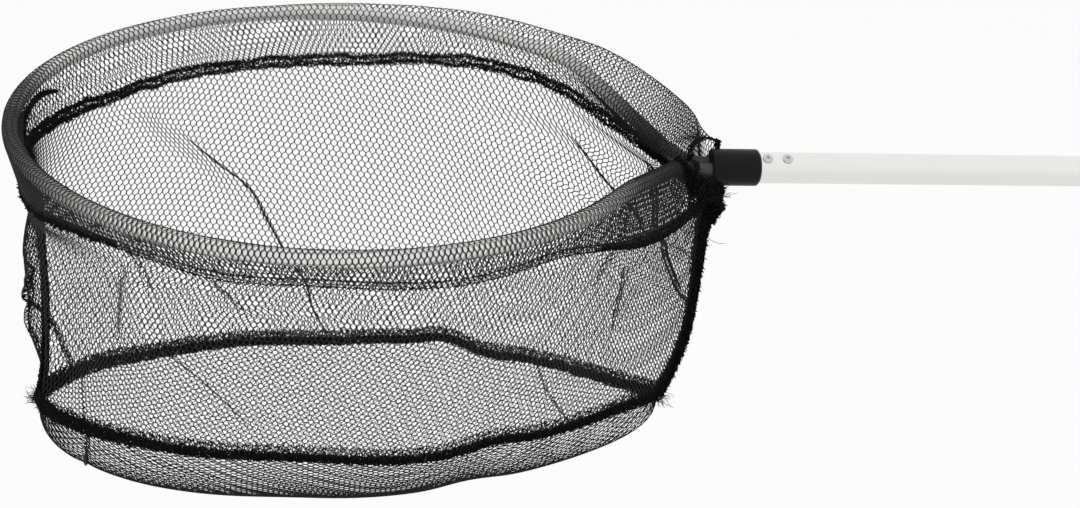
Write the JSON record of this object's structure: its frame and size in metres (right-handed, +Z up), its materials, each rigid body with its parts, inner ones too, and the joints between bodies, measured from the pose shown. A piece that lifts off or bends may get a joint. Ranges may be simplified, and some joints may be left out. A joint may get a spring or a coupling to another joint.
{
  "type": "pond net",
  "caption": "Hand net for a pond: a deep netting bag sewn round a tube hoop, riveted to a telescopic aluminium pole with a twist lock, foam grip and hanging eye.",
  "frame": {"origin": "middle of the hand grip, on the pole's axis", "axes": "+X along the pole from the hoop to the hand, +Z up out of the net's mouth, +Y to the side"},
  "size_m": [1.2721, 0.3827, 0.2654],
  "materials": {
    "pole_metal": "satin",
    "hoop_metal": "satin",
    "rivet_metal": "satin",
    "black_plastic": "satin",
    "foam": "matte",
    "netting": "matte",
    "sewing": "matte"
  },
  "bodies": {
    "handle": {"outer_tube": "pole_metal", "lock_body": "black_plastic", "lock_collet": "black_plastic", "grip": "foam", "end_cap": "black_plastic"},
    "lock_nut": {"lock_nut": "black_plastic"},
    "head": {"hoop": "hoop_metal", "ferrule": "black_plastic", "rivet_front": "rivet_metal", "rivet_rear": "rivet_metal", "inner_tube": "pole_metal", "guide_plug": "black_plastic", "hem_sleeve": "netting", "hem_seam": "sewing", "front_wall": "netting", "back_wall": "netting", "bottom_panel": "netting", "bottom_seam_front": "sewing", "bottom_seam_back": "sewing", "side_seam_tip": "sewing", "side_seam_heel": "sewing"}
  },
  "joints": [
    {"name": "telescope_slide", "type": "slide", "parent": "handle", "child": "head", "axis": [1, 0, 0], "range_m": [-0.13, 0.22]},
    {"name": "lock_nut_turn", "type": "hinge", "parent": "handle", "child": "lock_nut", "pos_m": [-0.462, 0, 0], "axis": [1, 0, 0], "range_deg": [0, 90]}
  ]
}
